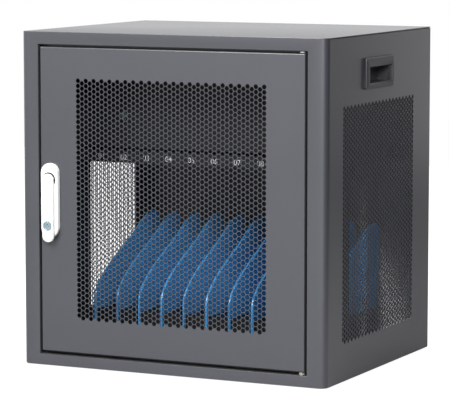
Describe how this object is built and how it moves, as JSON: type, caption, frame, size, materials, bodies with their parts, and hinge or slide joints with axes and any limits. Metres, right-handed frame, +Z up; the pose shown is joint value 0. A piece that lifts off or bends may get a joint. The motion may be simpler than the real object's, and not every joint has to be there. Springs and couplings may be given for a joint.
{
  "type": "laptop charging cabinet",
  "caption": "Lockable sheet steel cabinet with a perforated hinged door, upright laptop slots between blue dividers and a power compartment above them.",
  "frame": {"origin": "on the floor, under the centre of the overall box, handle and mains inlet included", "axes": "+Z up, -Y out of the door, +X to the right of someone who faces the door, where the hinges are"},
  "size_m": [0.531, 0.437, 0.528],
  "materials": {
    "powder_coat": "fine textured dark grey powder coat",
    "inner_powder_coat": "fine textured dark grey powder coat, inside",
    "blue_plastic": "moulded, satin to gloss blue",
    "black_plastic": "moulded, fine spark texture",
    "rubber": "moulded",
    "white_enamel": "smooth white enamel on die cast zinc",
    "bright_nickel": "bright nickel plate",
    "zinc_steel": "bright zinc plate",
    "nylon": "moulded nylon",
    "aluminium": "anodised extrusion",
    "brass": "stamped"
  },
  "bodies": {
    "cabinet": {"front_frame": "powder_coat", "left_side_panel": "powder_coat", "right_side_panel": "powder_coat", "top_panel": "powder_coat", "base_panel": "powder_coat", "back_panel": "powder_coat", "back_screws": "zinc_steel", "feet": "rubber", "left_grip": "black_plastic", "right_grip": "black_plastic", "left_upright": "inner_powder_coat", "right_upright": "inner_powder_coat", "device_shelf": "inner_powder_coat", "divider_01": "blue_plastic", "divider_02": "blue_plastic", "divider_03": "blue_plastic", "divider_04": "blue_plastic", "divider_05": "blue_plastic", "divider_06": "blue_plastic", "divider_07": "blue_plastic", "divider_08": "blue_plastic", "divider_09": "blue_plastic", "divider_10": "blue_plastic", "divider_11": "blue_plastic", "compartment_floor": "inner_powder_coat", "label_rail": "inner_powder_coat", "left_compartment_side": "inner_powder_coat", "right_compartment_side": "inner_powder_coat", "compartment_cover": "inner_powder_coat", "cover_knobs": "bright_nickel", "power_strip": "aluminium", "outlets": "black_plastic", "mains_inlet": "black_plastic", "inlet_blades": "brass", "switch_bezel": "black_plastic", "hinge_pins": "zinc_steel", "hinge_washers": "nylon", "door_bumpers": "rubber"},
    "door": {"door_panel": "powder_coat", "door_hinge_blocks": "zinc_steel", "escutcheon": "white_enamel", "escutcheon_screws": "zinc_steel"},
    "handle_spindle": {"handle_hub": "white_enamel", "latch_cam": "zinc_steel", "cam_nut": "zinc_steel"},
    "handle_lever": {"lever": "white_enamel", "lever_pin": "zinc_steel", "lock_ring": "bright_nickel"},
    "lock_plug": {"lock_plug": "bright_nickel"},
    "rocker": {"rocker": "black_plastic"}
  },
  "joints": [
    {"name": "door_hinge", "type": "hinge", "parent": "cabinet", "child": "door", "pos_m": [0.22, -0.198, 0.26475], "axis": [0, 0, 1], "range_deg": [0, 110]},
    {"name": "handle_turn", "type": "hinge", "parent": "door", "child": "handle_spindle", "pos_m": [-0.208, -0.2045, 0.297], "axis": [0, -1, 0], "range_deg": [0, 90]},
    {"name": "handle_lift", "type": "hinge", "parent": "handle_spindle", "child": "handle_lever", "pos_m": [-0.208, -0.2131, 0.3], "axis": [-1, 0, 0], "range_deg": [0, 25]},
    {"name": "key_turn", "type": "hinge", "parent": "handle_lever", "child": "lock_plug", "pos_m": [-0.208, -0.2181, 0.225], "axis": [0, -1, 0], "range_deg": [0, 90]},
    {"name": "switch_rock", "type": "hinge", "parent": "cabinet", "child": "rocker", "pos_m": [0.1, 0.2135, 0.4], "axis": [-1, 0, 0], "range_deg": [0, 16]}
  ]
}
